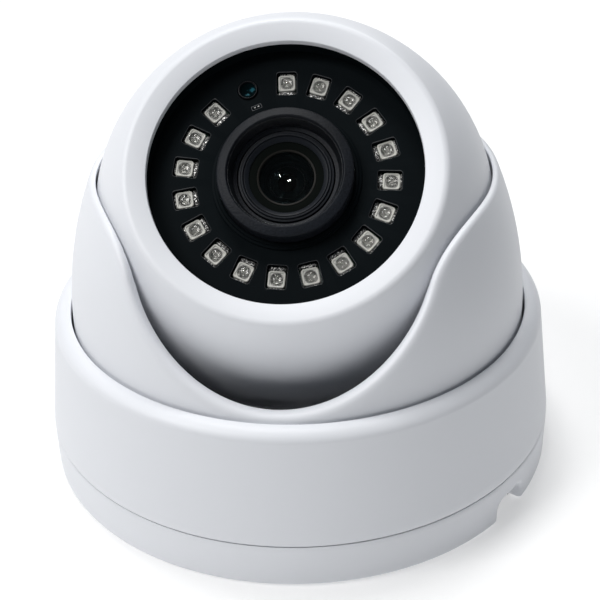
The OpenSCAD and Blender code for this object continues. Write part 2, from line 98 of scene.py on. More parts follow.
def rounded(points, steps=5):
    """An outline whose corners with a third number, a radius, become arcs."""
    out = []
    count = len(points)
    for i, p in enumerate(points):
        if len(p) == 2 or p[2] <= 0:
            out.append((p[0], p[1]))
            continue
        here = Vector(p[:2])
        before = Vector(points[i - 1][:2]) - here
        after = Vector(points[(i + 1) % count][:2]) - here
        room = 0.49 * min(before.length, after.length)
        before.normalize()
        after.normalize()
        half = math.acos(max(-1, min(1, before.dot(after)))) / 2
        if half < 0.01 or half > math.pi / 2 - 0.01:
            out.append((p[0], p[1]))
            continue
        reach = min(p[2] / math.tan(half), room)
        radius = reach * math.tan(half)
        centre = here + (before + after).normalized() * radius / math.sin(half)
        first = here + before * reach - centre
        last = here + after * reach - centre
        a0 = math.atan2(first.y, first.x)
        turn = (math.atan2(last.y, last.x) - a0 + math.pi) % TAU - math.pi
        for k in range(steps + 1):
            a = a0 + turn * k / steps
            out.append((centre.x + radius * math.cos(a), centre.y + radius * math.sin(a)))
    return out


class Solid:
    """Collects closed shells in millimetres, then becomes one object."""

    def __init__(self, place=None):
        self.verts = []
        self.faces = []
        self.place = place or Matrix.Identity(4)

    def add(self, verts, faces, move=None):
        base = len(self.verts)
        for v in verts:
            v = Vector(v)
            self.verts.append(move @ v if move else v)
        self.faces += [[i + base for i in f] for f in faces]
        return self

    def lathe(self, outline, steps=128, move=None):
        """A closed outline of (r, z) turned about z. Ends with r = 0 close on the axis."""
        verts, rows = [], []
        for r, z in outline:
            if r < 1e-6:
                rows.append([len(verts)])
                verts.append((0, 0, z))
                continue
            rows.append(list(range(len(verts), len(verts) + steps)))
            for i in range(steps):
                a = TAU * i / steps
                verts.append((r * math.cos(a), r * math.sin(a), z))
        faces = []
        for a, b in zip(rows, rows[1:] + rows[:1]):
            if len(a) == 1 and len(b) == 1:
                continue
            for i in range(steps):
                j = (i + 1) % steps
                if len(a) == 1:
                    faces.append((a[0], b[j], b[i]))
                elif len(b) == 1:
                    faces.append((a[i], a[j], b[0]))
                else:
                    faces.append((a[i], a[j], b[j], b[i]))
        return self.add(verts, faces, move)

    def loops(self, columns, closed_ends=False, move=None):
        """Closed rings of points, each joined to the next and the last to the first."""
        rows = len(columns[0])
        verts = [p for c in columns for p in c]
        faces = []
        count = len(columns)
        for i in range(count):
            if closed_ends and i == count - 1:
                break
            k = (i + 1) % count
            for j in range(rows):
                n = (j + 1) % rows
                faces.append((i * rows + j, k * rows + j, k * rows + n, i * rows + n))
        if closed_ends:
            faces.append(tuple(range(rows - 1, -1, -1)))
            faces.append(tuple((count - 1) * rows + j for j in range(rows)))
        return self.add(verts, faces, move)

    def block(self, outline_of, levels, move=None):
        """Stacks outlines: outline_of(inset) at (inset, z) levels, capped at both ends."""
        columns = [[(x, y, z) for x, y in outline_of(inset)] for inset, z in levels]
        return self.loops(columns, True, move)

    def make(self, name, finish, body=None, slot=None, nodes=(), sharp=38):
        """Makes the object: its finish, the body it rides on and the CAD nodes it replaces."""
        mesh = bpy.data.meshes.new(name)
        scale = Matrix.Scale(MM, 4)
        verts = [(scale @ (self.place @ v))[:] for v in self.verts]
        mesh.from_pydata(verts, [], self.faces)
        mesh.materials.append(finish)
        mesh.validate()
        obj = bpy.data.objects.new(name, mesh)
        bpy.context.scene.collection.objects.link(obj)
        settle(obj, sharp)
        if body:
            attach(obj, body)
        if nodes:
            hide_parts(*nodes)
        return obj


def settle(obj, sharp=38):
    """Faces outwards, smooth but for edges sharper than the given angle."""
    bm = bmesh.new()
    bm.from_mesh(obj.data)
    bmesh.ops.recalc_face_normals(bm, faces=bm.faces)
    limit = math.radians(sharp)
    for f in bm.faces:
        f.smooth = True
    for e in bm.edges:
        e.smooth = len(e.link_faces) == 2 and e.calc_face_angle(0) < limit
    bm.to_mesh(obj.data)
    bm.free()


def carve(obj, cutters, sharp=38):
    """Cuts the cutter objects out of obj and applies it."""
    bpy.context.view_layer.update()
    for cutter in cutters:
        mod = obj.modifiers.new("cut", "BOOLEAN")
        mod.operation = "DIFFERENCE"
        mod.solver = "EXACT"
        mod.material_mode = "TRANSFER"
        mod.object = cutter
    graph = bpy.context.evaluated_depsgraph_get()
    mesh = bpy.data.meshes.new_from_object(obj.evaluated_get(graph))
    obj.modifiers.clear()
    mesh.name = obj.name
    obj.data = mesh
    for cutter in cutters:
        bpy.data.objects.remove(cutter)
    settle(obj, sharp)


def rounded_box(half_x, half_y, radius, steps=5):
    """A maker of rounded rectangles, each shrunk by the inset it is given."""
    def outline_of(inset):
        x, y, r = half_x - inset, half_y - inset, max(radius - inset, 0.02)
        return rounded([(x, -y, r), (x, y, r), (-x, y, r), (-x, -y, r)], steps)
    return outline_of


def bezier(a, b, c, steps):
    """Points of a soft corner from a to c that leans towards b, without its last point."""
    out = []
    for i in range(steps):
        t = i / steps
        out.append(a * (1 - t) ** 2 + b * 2 * t * (1 - t) + c * t * t)
    return out


def turned(angle):
    return Matrix.Rotation(angle, 4, "Z")


def moved(x, y, z):
    return Matrix.Translation((x, y, z))


# ---- Materials ----

def material(name):
    mat = bpy.data.materials.new(name)
    mat.use_nodes = True
    nodes = mat.node_tree.nodes
    shader = next(n for n in nodes if n.type == "BSDF_PRINCIPLED")
    return mat, nodes, mat.node_tree.links, shader


def noise_node(nodes, links, scale, detail=2.0, stretch=None):
    coords = nodes.new("ShaderNodeTexCoord")
    noise = nodes.new("ShaderNodeTexNoise")
    noise.inputs["Scale"].default_value = scale
    noise.inputs["Detail"].default_value = detail
    if stretch:
        mapping = nodes.new("ShaderNodeMapping")
        mapping.inputs["Scale"].default_value = stretch
        links.new(coords.outputs["Object"], mapping.inputs["Vector"])
        links.new(mapping.outputs["Vector"], noise.inputs["Vector"])
    else:
        links.new(coords.outputs["Object"], noise.inputs["Vector"])
    return noise


def ramp_node(nodes, links, source, stops):
    ramp = nodes.new("ShaderNodeValToRGB")
    ramp.color_ramp.elements[0].position = stops[0][0]
    ramp.color_ramp.elements[0].color = (*stops[0][1], 1)
    ramp.color_ramp.elements[1].position = stops[1][0]
    ramp.color_ramp.elements[1].color = (*stops[1][1], 1)
    for place, colour in stops[2:]:
        ramp.color_ramp.elements.new(place).color = (*colour, 1)
    links.new(source, ramp.inputs["Fac"])
    return ramp


def surface(name, colour, rough, grain=4000, vary=0.04, bump=0.0, bump_scale=6000,
            metal=0.0, coat=0.0, coat_rough=0.1, specular=0.5, stretch=None,
            rough_vary=0.05, patches=60, sheen=0.0, tint=None):
    """A moulded, cast or rolled surface: fine grain, slow colour patches and fine bump."""
    mat, nodes, links, shader = material(name)
    shader.inputs["Metallic"].default_value = metal
    shader.inputs["Specular IOR Level"].default_value = specular
    if coat:
        shader.inputs["Coat Weight"].default_value = coat
        shader.inputs["Coat Roughness"].default_value = coat_rough
    if sheen:
        shader.inputs["Sheen Weight"].default_value = sheen
    if tint:
        shader.inputs["Specular Tint"].default_value = (*tint, 1)
    fine = noise_node(nodes, links, grain, 3.0, stretch)
    slow = noise_node(nodes, links, patches, 2.0)
    both = nodes.new("ShaderNodeMath")
    both.operation = "ADD"
    links.new(fine.outputs["Fac"], both.inputs[0])
    links.new(slow.outputs["Fac"], both.inputs[1])
    spread = nodes.new("ShaderNodeMapRange")
    spread.inputs["From Min"].default_value = 0.6
    spread.inputs["From Max"].default_value = 1.4
    links.new(both.outputs["Value"], spread.inputs["Value"])
    dark = tuple(c * (1 - vary) for c in colour)
    light = tuple(min(c * (1 + vary), 1) for c in colour)
    ramp = ramp_node(nodes, links, spread.outputs["Result"], [(0.0, dark), (1.0, light)])
    links.new(ramp.outputs["Color"], shader.inputs["Base Color"])
    gloss = nodes.new("ShaderNodeMapRange")
    gloss.inputs["From Min"].default_value = 0.3
    gloss.inputs["From Max"].default_value = 0.7
    gloss.inputs["To Min"].default_value = max(rough - rough_vary, 0.02)
    gloss.inputs["To Max"].default_value = min(rough + rough_vary, 1)
    links.new(fine.outputs["Fac"], gloss.inputs["Value"])
    links.new(gloss.outputs["Result"], shader.inputs["Roughness"])
    if bump:
        texture = noise_node(nodes, links, bump_scale, 2.0, stretch)
        node = nodes.new("ShaderNodeBump")
        node.inputs["Strength"].default_value = bump
        node.inputs["Distance"].default_value = 0.00006
        links.new(texture.outputs["Fac"], node.inputs["Height"])
        links.new(node.outputs["Normal"], shader.inputs["Normal"])
    return mat


def glass(name, colour, rough=0.0, ior=1.5):
    """Clear or tinted glass or resin with a faint smear in its colour."""
    mat, nodes, links, shader = material(name)
    shader.inputs["Transmission Weight"].default_value = 1.0
    shader.inputs["IOR"].default_value = ior
    smear = noise_node(nodes, links, 300, 2.0)
    ramp = ramp_node(nodes, links, smear.outputs["Fac"],
                     [(0.3, tuple(c * 0.97 for c in colour)), (0.7, colour)])
    links.new(ramp.outputs["Color"], shader.inputs["Base Color"])
    shader.inputs["Roughness"].default_value = rough
    return mat


def solder_material():
    """Rough tinned pads on black lacquer: bright crumbs where the noise peaks."""
    mat, nodes, links, shader = material("rough_solder")
    crumbs = noise_node(nodes, links, 3800, 4.0)
    ramp = ramp_node(nodes, links, crumbs.outputs["Fac"],
                     [(0.49, (0.012, 0.013, 0.014)), (0.56, (0.45, 0.44, 0.42)),
                      (0.62, (0.92, 0.91, 0.88))])
    links.new(ramp.outputs["Color"], shader.inputs["Base Color"])
    shine = nodes.new("ShaderNodeMapRange")
    shine.inputs["From Min"].default_value = 0.5
    shine.inputs["From Max"].default_value = 0.6
    shine.inputs["To Min"].default_value = 0.0
    shine.inputs["To Max"].default_value = 0.8
    links.new(crumbs.outputs["Fac"], shine.inputs["Value"])
    links.new(shine.outputs["Result"], shader.inputs["Metallic"])
    shader.inputs["Roughness"].default_value = 0.38
    node = nodes.new("ShaderNodeBump")
    node.inputs["Strength"].default_value = 0.9
    node.inputs["Distance"].default_value = 0.0002
    links.new(crumbs.outputs["Fac"], node.inputs["Height"])
    links.new(node.outputs["Normal"], shader.inputs["Normal"])
    return mat


white = surface("white_moulded", (0.795, 0.81, 0.845), 0.46, grain=9000, vary=0.012,
                bump=0.10, bump_scale=5200, patches=25, rough_vary=0.04)
rubber = surface("black_rubber", (0.022, 0.022, 0.024), 0.72, bump=0.35, sheen=0.15)
steel = surface("bright_steel", (0.62, 0.62, 0.64), 0.28, metal=1.0, grain=2500,
                bump=0.08, stretch=(1, 1, 6))
bearing = surface("bearing_plastic", (0.78, 0.75, 0.66), 0.4, bump=0.06)
dark = surface("dark_moulded", (0.045, 0.047, 0.052), 0.5, bump=0.15)
mask_black = surface("mask_black", (0.0030, 0.0050, 0.0062), 0.55, grain=7000, vary=0.12,
                     bump=0.10, bump_scale=4500, specular=0.03)
# Window chamfers: the lighter colour paints a highlight along each window edge; the gloss is the surface's own
painted_highlight_edge = surface("painted_highlight_edge", (0.045, 0.048, 0.052), 0.30, grain=7000, vary=0.2,
                    bump=0.15, specular=0.7)
board = surface("board_lacquer", (0.010, 0.055, 0.028), 0.32, grain=2400, vary=0.25,
                bump=0.12, coat=0.4)
ceramic = surface("lamp_ceramic", (0.55, 0.545, 0.50), 0.42, grain=6000, vary=0.05,
                  bump=0.12)
charcoal = surface("charcoal_cast", (0.0070, 0.0086, 0.0118), 0.50, grain=4200, vary=0.85,
                   bump=1.0, bump_scale=2800, specular=0.16)
charcoal_blue = surface("charcoal_inner", (0.0086, 0.0104, 0.0138), 0.42, grain=5200, vary=0.4,
                        bump=0.5, bump_scale=3600, specular=0.14)
hood_cone = surface("hood_cone", (0.0040, 0.0050, 0.0068), 0.32, grain=4200, vary=0.8,
                    bump=1.0, bump_scale=2800, specular=0.42)
baffle_black = surface("baffle_black", (0.0060, 0.0090, 0.0100), 0.7, bump=0.1, specular=0.02)
charcoal_fine = surface("charcoal_satin", (0.0045, 0.0045, 0.006), 0.36, grain=6000,
                        vary=0.10, bump=0.12, specular=0.16)
ring_brown = surface("ring_bronze", (0.0100, 0.0092, 0.0078), 0.50, grain=5000, vary=0.12,
                     bump=0.12, specular=0.12)
flat_black = surface("flat_black", (0.0030, 0.0042, 0.0036), 0.85, bump=0.1, specular=0.04)
copper = surface("copper_wire", (0.60, 0.27, 0.13), 0.3, metal=1.0, bump=0.3,
                 stretch=(8, 1, 1))
lead_film = surface("lead_film", (0.42, 0.19, 0.05), 0.3, coat=0.5, bump=0.05)
brass = surface("brass", (0.62, 0.46, 0.20), 0.3, metal=1.0, bump=0.08)
aluminium = surface("cast_aluminium", (0.66, 0.67, 0.69), 0.38, metal=1.0, bump=0.15)
sensor_dark = surface("sensor_dark", (0.0015, 0.0045, 0.0052), 0.16, grain=900, vary=0.25,
                      specular=0.10, tint=(0.10, 0.75, 1.0), bump=0.0, rough_vary=0.02)
sensor_face = surface("sensor_face", (0.030, 0.034, 0.060), 0.18, grain=1500, vary=0.4,
                      coat=0.8)
lens_glass = glass("lens_glass", (0.80, 0.86, 0.84), ior=1.22)
dome_glass = glass("dome_resin", (0.90, 0.90, 0.88), rough=0.04, ior=1.42)
inner_glass = glass("inner_glass", (0.55, 0.62, 0.70), ior=1.6)
solder = solder_material()


lamp_well = surface("lamp_well", (0.33, 0.325, 0.31), 0.35, grain=2600, vary=0.35,
                    bump=0.25, coat=0.5, coat_rough=0.08)
pupil_glass = surface("pupil_coating", (0.075, 0.068, 0.060), 0.30, grain=700, vary=0.3,
                      specular=0.0, rough_vary=0.02)


# ---- Camera, floor and light ----

CAMERA_AZIMUTH = math.radians(6.0)
CAMERA_ELEVATION = math.radians(31.2)
CAMERA_ROLL = math.radians(1.55)
CAMERA_DISTANCE = 0.300
CAMERA_LENS = 96.57
AIM_Z = 0.02879
AIM_SIDE = 0.00045


def add_camera():
    az, el = CAMERA_AZIMUTH, CAMERA_ELEVATION
    back = Vector((math.sin(az) * math.cos(el), -math.cos(az) * math.cos(el), math.sin(el)))
    right = Vector((math.cos(az), math.sin(az), 0))
    up = back.cross(right)
    x_axis = right * math.cos(CAMERA_ROLL) - up * math.sin(CAMERA_ROLL)
    y_axis = right * math.sin(CAMERA_ROLL) + up * math.cos(CAMERA_ROLL)
    aim = Vector((0, 0, AIM_Z)) + right * AIM_SIDE
    data = bpy.data.cameras.new("camera")
    data.lens = CAMERA_LENS
    data.sensor_width = 36
    data.clip_start = 0.01
    camera = bpy.data.objects.new("camera", data)
    turn = Matrix((x_axis, y_axis, back)).transposed().to_4x4()
    camera.matrix_world = Matrix.Translation(aim + back * CAMERA_DISTANCE) @ turn
    bpy.context.scene.collection.objects.link(camera)
    bpy.context.scene.camera = camera


STUDIO_TARGET = (0, 0, 0.04)
LENS_TARGET = (0, 0, 0.06)
LIGHTS = [
    # name, place, target, side, power, colour
    ("key", (-0.55, -0.34, 0.82), STUDIO_TARGET, 0.40, 5.2, (1.0, 0.995, 0.99)),
    ("top", (-0.13, 0.20, 0.92), STUDIO_TARGET, 0.3, 4.6, (1, 1, 1)),
    ("back", (0.20, 0.75, 0.65), STUDIO_TARGET, 0.3, 2.0, (1, 1, 1)),
    ("fill", (0.80, -0.55, 0.35), STUDIO_TARGET, 0.5, 0.05, (0.84, 0.91, 1.0)),
    ("glint_left", (-0.108, -0.258, 0.708), LENS_TARGET, 0.012, 0.13, (1, 1, 1)),
    ("glint_right", (-0.053, -0.286, 0.702), LENS_TARGET, 0.015, 0.18, (1, 1, 1)),
]


def add_light(name, place, target, side, power, colour):
    data = bpy.data.lights.new(name, "AREA")
    data.shape = "SQUARE"
    data.size = side
    data.energy = power
    data.color = colour
    lamp = bpy.data.objects.new(name, data)
    lamp.location = place
    lamp.rotation_euler = (Vector(target) - Vector(place)).to_track_quat("-Z", "Y").to_euler()
    bpy.context.scene.collection.objects.link(lamp)


FLOOR_GLOW, FLOOR_GAP, FLOOR_HALF = 0.40, 0.0002, 4.0


def add_stage():
    """A pale floor that glows a little, and a dim blue-white room."""
    mesh = bpy.data.meshes.new("floor")
    half = FLOOR_HALF
    mesh.from_pydata([(-half, -half, 0), (half, -half, 0), (half, half, 0), (-half, half, 0)],
                     [], [(0, 1, 2, 3)])
    floor = bpy.data.objects.new("floor", mesh)
    floor.location.z = -FLOOR_GAP
    pale = surface("pale_floor", (0.66, 0.66, 0.66), 0.7, grain=500, vary=0.004,
                   patches=5, specular=0.2)
    shader = next(n for n in pale.node_tree.nodes if n.type == "BSDF_PRINCIPLED")
    shader.inputs["Emission Color"].default_value = (1, 1, 1, 1)
    shader.inputs["Emission Strength"].default_value = FLOOR_GLOW
    mesh.materials.append(pale)
    bpy.context.scene.collection.objects.link(floor)
    world = bpy.data.worlds.new("studio")
    world.use_nodes = True
    background = world.node_tree.nodes["Background"]
    background.inputs["Color"].default_value = (0.76, 0.87, 1.0, 1)
    background.inputs["Strength"].default_value = 0.08
    bpy.context.scene.world = world
    bpy.context.scene.view_settings.view_transform = "Standard"


add_camera()
add_stage()
for row in LIGHTS:
    add_light(*row)


# ---- Base ----

def smooth_step(t):
    t = max(0.0, min(1.0, t))
    return t * t * (3 - 2 * t)


def resample(path, spacing):
    """Points along a polyline, evenly spaced, ends kept."""
    lengths = [0.0]
    for a, b in zip(path, path[1:]):
        lengths.append(lengths[-1] + math.dist(a, b))
    count = max(2, round(lengths[-1] / spacing))
    out, k = [], 0
    for i in range(count + 1):
        s = lengths[-1] * i / count
        while k < len(path) - 2 and lengths[k + 1] < s:
            k += 1
        part = (s - lengths[k]) / max(lengths[k + 1] - lengths[k], 1e-9)
        a, b = path[k], path[k + 1]
        out.append((a[0] + (b[0] - a[0]) * part, a[1] + (b[1] - a[1]) * part))
    return out


def on_wall(radius, phi, z):
    return Vector((radius * math.cos(phi), radius * math.sin(phi), z))


def edge_normals(edge):
    """Unit directions square to a path, on its left-hand side."""
    out = []
    last = len(edge) - 1
    for i in range(len(edge)):
        a, b = edge[max(i - 1, 0)], edge[min(i + 1, last)]
        du, dz = b[0] - a[0], b[1] - a[1]
        size = math.hypot(du, dz) or 1
        out.append((-dz / size, du / size))
    return out


SPIGOT_R, SPIGOT_TOP_Z, SPIGOT_IN_R = 44.9, 14.4, 43.1
NOTCH_W, NOTCH_H, NOTCH_CORNER = 8.0, 4.5, 1.9
FLOOR_T = 2.4
HUB_IN_R, HUB_R, HUB_TOP_Z = 30.4, 33.7, 19.9
SHELF_IN_R, SHELF_R, SHELF_TOP_Z = 36.9, 39.9, 16.6
MOUNT_R, MOUNT_HOLE_R, MOUNT_BOSS_R, MOUNT_BOSS_Z = 25, 2.3, 5, 4.4
MOUNT_TURNS = [math.radians(38 + 120 * i) for i in range(3)]
CABLE_HOLE_R = 10
GROOVE_IN_R, GROOVE_OUT_R, GROOVE_DEPTH = 42.4, 44.2, 0.9


def base_out_r(z):
    return BODY_R - 0.2 + 0.2 * min(z / 7.0, 1)


def notch_path():
    """The rim's lower edge across the notch: flat, up, over and down, as (distance, z)."""
    reach, soft, half = 9.0, 0.9, NOTCH_W / 2
    path = rounded([(-reach, 0), (-half, 0, soft), (-half, NOTCH_H, NOTCH_CORNER),
                    (half, NOTCH_H, NOTCH_CORNER), (half, 0, soft), (reach, 0)], 14)
    return resample(path, 0.28)


def base_band():
    """The outer wall with its seam edge, its spigot and the soft edge round the notch."""
    path = notch_path()
    normals = edge_normals(path)
    columns = []
    reach = path[-1][0] / BODY_R
    count = len(path)
    for i, (u, z) in enumerate(path):
        n = normals[i]
        phi = NOTCH_ANGLE + u / BODY_R
        far_phi = NOTCH_ANGLE - reach + 2 * reach * i / (count - 1)
        inside = smooth_step((NOTCH_W / 2 + 2.5 - abs(u)) / 2.5)
        phi_in = (1 - inside) * phi + inside * (
            NOTCH_ANGLE + math.asin(base_out_r(z) * math.sin(u / BODY_R) / SPIGOT_IN_R))
        columns.append(base_column(phi, phi_in, far_phi, z, n))
    rest = 236
    for i in range(1, rest):
        phi = NOTCH_ANGLE + reach + (TAU - 2 * reach) * i / rest
        columns.append(base_column(phi, phi, phi, 0, (0, 1)))
    return columns


def base_column(phi, phi_in, far_phi, z, normal):
    lip, lip_in = 1.0, 0.5
    corner = on_wall(base_out_r(z), phi, z)
    inner_corner = on_wall(SPIGOT_IN_R, phi_in, z)
    across = (inner_corner - corner).normalized()
    start_phi, start_z = phi + normal[0] * lip / BODY_R, z + normal[1] * lip
    start = on_wall(base_out_r(start_z), start_phi, start_z)
    back_phi, back_z = phi_in + normal[0] * lip_in / SPIGOT_IN_R, z + normal[1] * lip_in
    back = on_wall(SPIGOT_IN_R, back_phi, back_z)
    top_z = SEAM_Z - 0.09
    rows = []
    steps = 9
    for k in range(steps):
        t = k / steps
        high = 1 - t
        rows.append(on_wall(base_out_r(top_z + (start_z - top_z) * t),
                            start_phi + (far_phi - start_phi) * smooth_step(high),
                            top_z + (start_z - top_z) * t))
    rows += bezier(start, corner, corner + across * lip, 7)
    for k in range(4):
        rows.append(corner + across * lip
                    + (inner_corner - across * lip_in - corner - across * lip) * k / 4)
    rows += bezier(inner_corner - across * lip_in, inner_corner, back, 4)
    for k in range(9):
        t = k / 8
        rows.append(on_wall(SPIGOT_IN_R, back_phi + (far_phi - back_phi) * smooth_step(t),
                            back_z + (12.0 - back_z) * t))
    for r, level in rounded([(SPIGOT_IN_R, 13.0), (SPIGOT_IN_R, SPIGOT_TOP_Z, 0.3),
                             (SPIGOT_R, SPIGOT_TOP_Z, 0.5), (SPIGOT_R, SEAM_Z, 0.15),
                             (BODY_R, SEAM_Z, 0.08)], 4)[1:]:
        rows.append(on_wall(r, far_phi, level))
    return rows


def cylinder_cutter(name, radius, low, high, move, steps=96):
    cutter = Solid().lathe([(0, low), (radius, low), (radius, high), (0, high)], steps, move)
    return cutter.make(name, white)


def notch_cutter():
    half, c = NOTCH_W / 2, NOTCH_CORNER
    outline = rounded([(-half, -1), (half, -1), (half, NOTCH_H, c), (-half, NOTCH_H, c)], 10)
    columns = [[(x, y, z) for y, z in outline] for x in (14.0, 60.0)]
    return Solid().loops(columns, True, turned(NOTCH_ANGLE)).make("notch_cutter", white)


def build_base():
    floor = Solid()
    floor.lathe([(0, 0), (SPIGOT_IN_R + 0.02, 0), (SPIGOT_IN_R + 0.02, FLOOR_T),
                 (0, FLOOR_T)], 180)
    plate = floor.make("base_floor", white, "base", "white_plastic")
    cutters = [notch_cutter(), cylinder_cutter("cable_cutter", CABLE_HOLE_R, -1, 4, None)]
    for a in MOUNT_TURNS:
        place = turned(a) @ moved(MOUNT_R, 0, 0)
        cutters.append(cylinder_cutter("screw_cutter", MOUNT_HOLE_R, -1, 4, place, 48))
    groove = Solid().lathe([(GROOVE_IN_R, -1), (GROOVE_OUT_R, -1),
                            (GROOVE_OUT_R, GROOVE_DEPTH), (GROOVE_IN_R, GROOVE_DEPTH)], 180)
    cutters.append(groove.make("groove_cutter", white))
    carve(plate, cutters)

    walls, foot_z = Solid(), FLOOR_T - 0.1
    walls.lathe(rounded([(HUB_IN_R, foot_z), (HUB_R, foot_z), (HUB_R, HUB_TOP_Z, 0.4),
                         (HUB_IN_R, HUB_TOP_Z, 0.4)], 4), 128)
    walls.lathe(rounded([(SHELF_IN_R, foot_z), (SHELF_R, foot_z), (SHELF_R, SHELF_TOP_Z, 0.3),
                         (SHELF_IN_R, SHELF_TOP_Z, 0.3)], 4), 128)
    boss = rounded([(MOUNT_HOLE_R, foot_z), (MOUNT_BOSS_R, foot_z),
                    (MOUNT_BOSS_R, MOUNT_BOSS_Z, 0.4), (MOUNT_HOLE_R, MOUNT_BOSS_Z, 0.3)], 4)
    for a in MOUNT_TURNS:
        walls.lathe(boss, 48, turned(a) @ moved(MOUNT_R, 0, 0))
    inner = walls.make("base_walls", white, "base", "white_plastic")
    carve(inner, [notch_cutter()])

    shell = Solid().loops(base_band())
    shell.make("base_band", white, "base", "white_plastic", ["mounting_base"])


build_base()


# ---- Cover ----

def build_cover():
    low, shoulder, drop, inner = COVER_LOW_Z + 0.08, 3.1, 2.2, SPIGOT_R + 0.1
    outline = [(inner, low)]
    outline += arc(BODY_R - 0.08, low + 0.08, 0.08, -90, 0, 4)
    wall_top = (COVER_HOLE_R + shoulder, COVER_TOP_Z - drop)
    wall_low = outline[-1]
    for k in range(1, 12):
        t = k / 12
        outline.append((wall_low[0] + (wall_top[0] - wall_low[0]) * t,
                        wall_low[1] + (wall_top[1] - wall_low[1]) * t))
    outline += [(x, COVER_TOP_Z - drop + z * drop / shoulder) for x, z in
                arc(COVER_HOLE_R, 0, shoulder, 0, 86, 18)]
    outline += [(COVER_HOLE_R + 0.06, COVER_TOP_Z - 0.02), (COVER_HOLE_R, COVER_TOP_Z - 0.12)]
    outline += [(COVER_HOLE_R, COVER_TOP_Z - 2), (COVER_HOLE_R + 0.9, COVER_TOP_Z - 2),
                (COVER_HOLE_R + 1.2, COVER_TOP_Z - shoulder), (inner, SPIGOT_TOP_Z + 0.4)]
    cover = Solid().lathe(outline, 288)
    obj = cover.make("cover_band", white, "base", "white_plastic", ["cover_ring"], sharp=50)
    hole = moved(0, 48, 11.8) @ Matrix.Rotation(math.pi / 2, 4, "X")
    carve(obj, [cylinder_cutter("lock_cutter", 1.55, 0, 7, hole, 40)], 50)


build_cover()


# ---- Collar ----

COLLAR_ARC_R, COLLAR_ARC_Z = 70.0, 29.5
CUT_R, CUT_Z, CUT_CORNER = 26.4, 57.6, 10.0


def collar_out(z):
    rise = max(z - COLLAR_ARC_Z, 0)
    return COLLAR_R - COLLAR_ARC_R + math.sqrt(COLLAR_ARC_R ** 2 - rise ** 2)


def collar_in(z):
    near_ball = math.sqrt(max((BALL_R + 0.4) ** 2 - (z - BALL_Z) ** 2, 0))
    upper = max(collar_out(z) - 3, near_ball)
    lower = COLLAR_R - 2
    return upper + (lower - upper) * smooth_step((30.5 - z) / 2)


def collar_edge():
    """The upper edge from the left of the cut-out round its bottom to the right, as (x, z)."""
    corner_z = COLLAR_TOP_Z - CUT_CORNER
    corner_x = math.sqrt((CUT_R + CUT_CORNER) ** 2 - (CUT_Z - corner_z) ** 2)
    meet = math.degrees(math.asin((CUT_Z - corner_z) / (CUT_R + CUT_CORNER)))
    path = arc(-corner_x, corner_z, CUT_CORNER, 90, meet, 24)
    path += arc(0, CUT_Z, CUT_R, meet - 180, -meet, 120)[1:]
    path += arc(corner_x, corner_z, CUT_CORNER, 180 - meet, 90, 24)[1:]
    return path


def front_phi(x, radius):
    """Angle about z of a point on a wall of the given radius with the given x, front side."""
    return -math.pi / 2 + math.asin(max(-1, min(1, x / radius)))


def collar_column(phi, phi_in, far_phi, z, normal):
    """One closed column: up the outside to the edge, over the lip and down the inside."""
    outer_r, inner_r = collar_out(z), collar_in(z)
    corner, inner_corner = on_wall(outer_r, phi, z), on_wall(inner_r, phi_in, z)
    across = inner_corner - corner
    thick = across.length
    across.normalize()
    lip = 1.75 * smooth_step((thick - 0.6) / 2.6) + 0.55
    lip_across = min(0.62 * thick, 1.9)
    lip_in = min(0.3 * thick, 0.8)
    start_phi, start_z = phi + normal[0] * lip / outer_r, z + normal[1] * lip
    start = on_wall(collar_out(start_z), start_phi, start_z)
    back_phi, back_z = phi_in + normal[0] * lip_in / inner_r, z + normal[1] * lip_in
    back = on_wall(collar_in(back_z), back_phi, back_z)
    rows = []
    steps = 40
    for k in range(steps):
        t = k / steps
        level = FLANGE_Z + (start_z - FLANGE_Z) * t
        lean = smooth_step(1 - t)
        rows.append(on_wall(collar_out(level), start_phi + (far_phi - start_phi) * lean, level))
    first, last = corner + across * lip_across, inner_corner - across * lip_in
    rows += bezier(start, corner, first, 10)
    rows += [first + (last - first) * k / 2 for k in range(2)]
    rows += bezier(last, inner_corner, back, 5)
    for k in range(31):
        t = k / 30
        level = back_z + (FLANGE_Z - back_z) * t
        lean = smooth_step(t)
        rows.append(on_wall(collar_in(level), back_phi + (far_phi - back_phi) * lean, level))
    return rows


